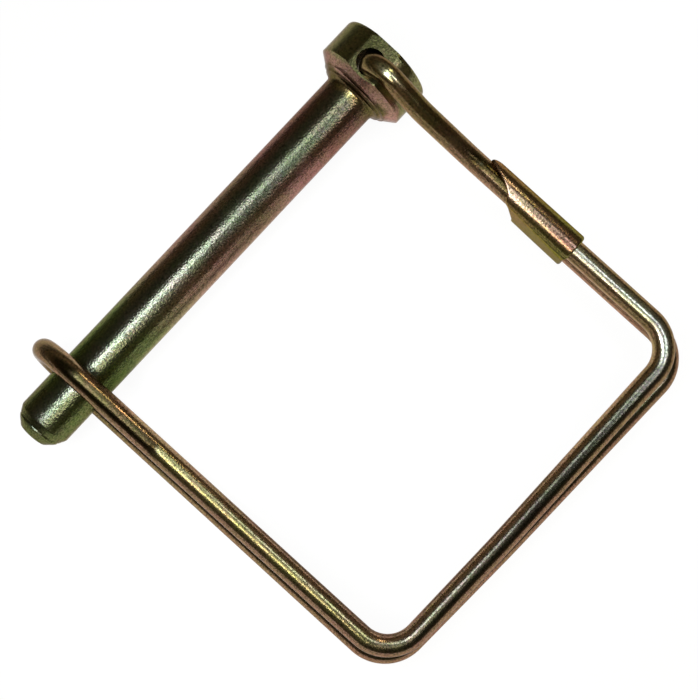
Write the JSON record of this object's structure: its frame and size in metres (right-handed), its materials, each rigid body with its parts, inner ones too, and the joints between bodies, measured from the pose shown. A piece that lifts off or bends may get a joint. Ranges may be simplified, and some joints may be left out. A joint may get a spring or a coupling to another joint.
{
  "type": "safety lock pin",
  "caption": "Round quick-release pin with a drilled, bevelled head and a square spring-wire bail whose doubled end snaps around the shank.",
  "frame": {"origin": "on the shank's axis, in the plane of the head's underside", "axes": "+X along the shank towards its tip, +Y towards the bail's far side, +Z out of the bail's face that the single wire crosses"},
  "size_m": [0.0868, 0.0827, 0.0255],
  "materials": {
    "pin_steel": "yellow chromate over zinc plate, satin, with pink and green iridescence",
    "spring_wire": "yellow chromate over zinc plate on drawn spring wire, glossy",
    "sleeve_steel": "yellow chromate over zinc plate on rolled sheet, glossy"
  },
  "bodies": {
    "pin_body": {"pin": "pin_steel"},
    "bail": {"wire_bail": "spring_wire", "sleeve": "sleeve_steel"}
  },
  "joints": [
    {"name": "bail_swing", "type": "hinge", "parent": "pin_body", "child": "bail", "pos_m": [-0.0035, 0.0003, 0], "axis": [0, 0, 1], "range_deg": [0, 245]}
  ]
}
